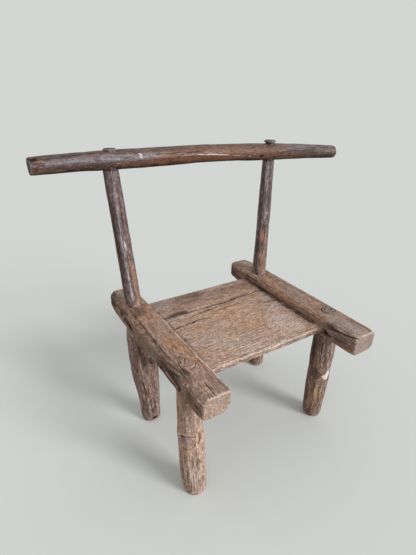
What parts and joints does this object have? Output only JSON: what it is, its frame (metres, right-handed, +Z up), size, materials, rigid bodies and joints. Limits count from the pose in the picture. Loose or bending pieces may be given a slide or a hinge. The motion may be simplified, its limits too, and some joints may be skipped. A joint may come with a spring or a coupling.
{
  "type": "birthing chair",
  "caption": "Low hewn wooden chair with a thin board seat between two side beams, round tenoned legs and a bowed round back rail on tapered posts.",
  "frame": {"origin": "on the floor, under the middle of the box around the whole chair", "axes": "+X to the right of someone facing the chair's front, +Y to its back, +Z up"},
  "size_m": [0.7046, 0.4124, 0.5856],
  "materials": {
    "beam_wood": "hewn and weathered, rubbed by hands on top",
    "leg_wood": "shaved round, dry and grooved along the grain",
    "post_wood": "dark, faceted and smoke-stained",
    "rail_wood": "dark, polished red-brown in the middle by use",
    "seat_wood": "greyish tan, worn smooth, checked along the grain",
    "wedge_wood": "dry split wood"
  },
  "bodies": {
    "root": {"left_beam": "beam_wood", "right_beam": "beam_wood", "front_left_leg": "leg_wood", "front_right_leg": "leg_wood", "rear_left_leg": "leg_wood", "rear_right_leg": "leg_wood", "left_post": "post_wood", "right_post": "post_wood", "back_rail": "rail_wood", "seat_board": "seat_wood", "front_left_wedge": "wedge_wood", "front_right_wedge": "wedge_wood"}
  },
  "joints": []
}
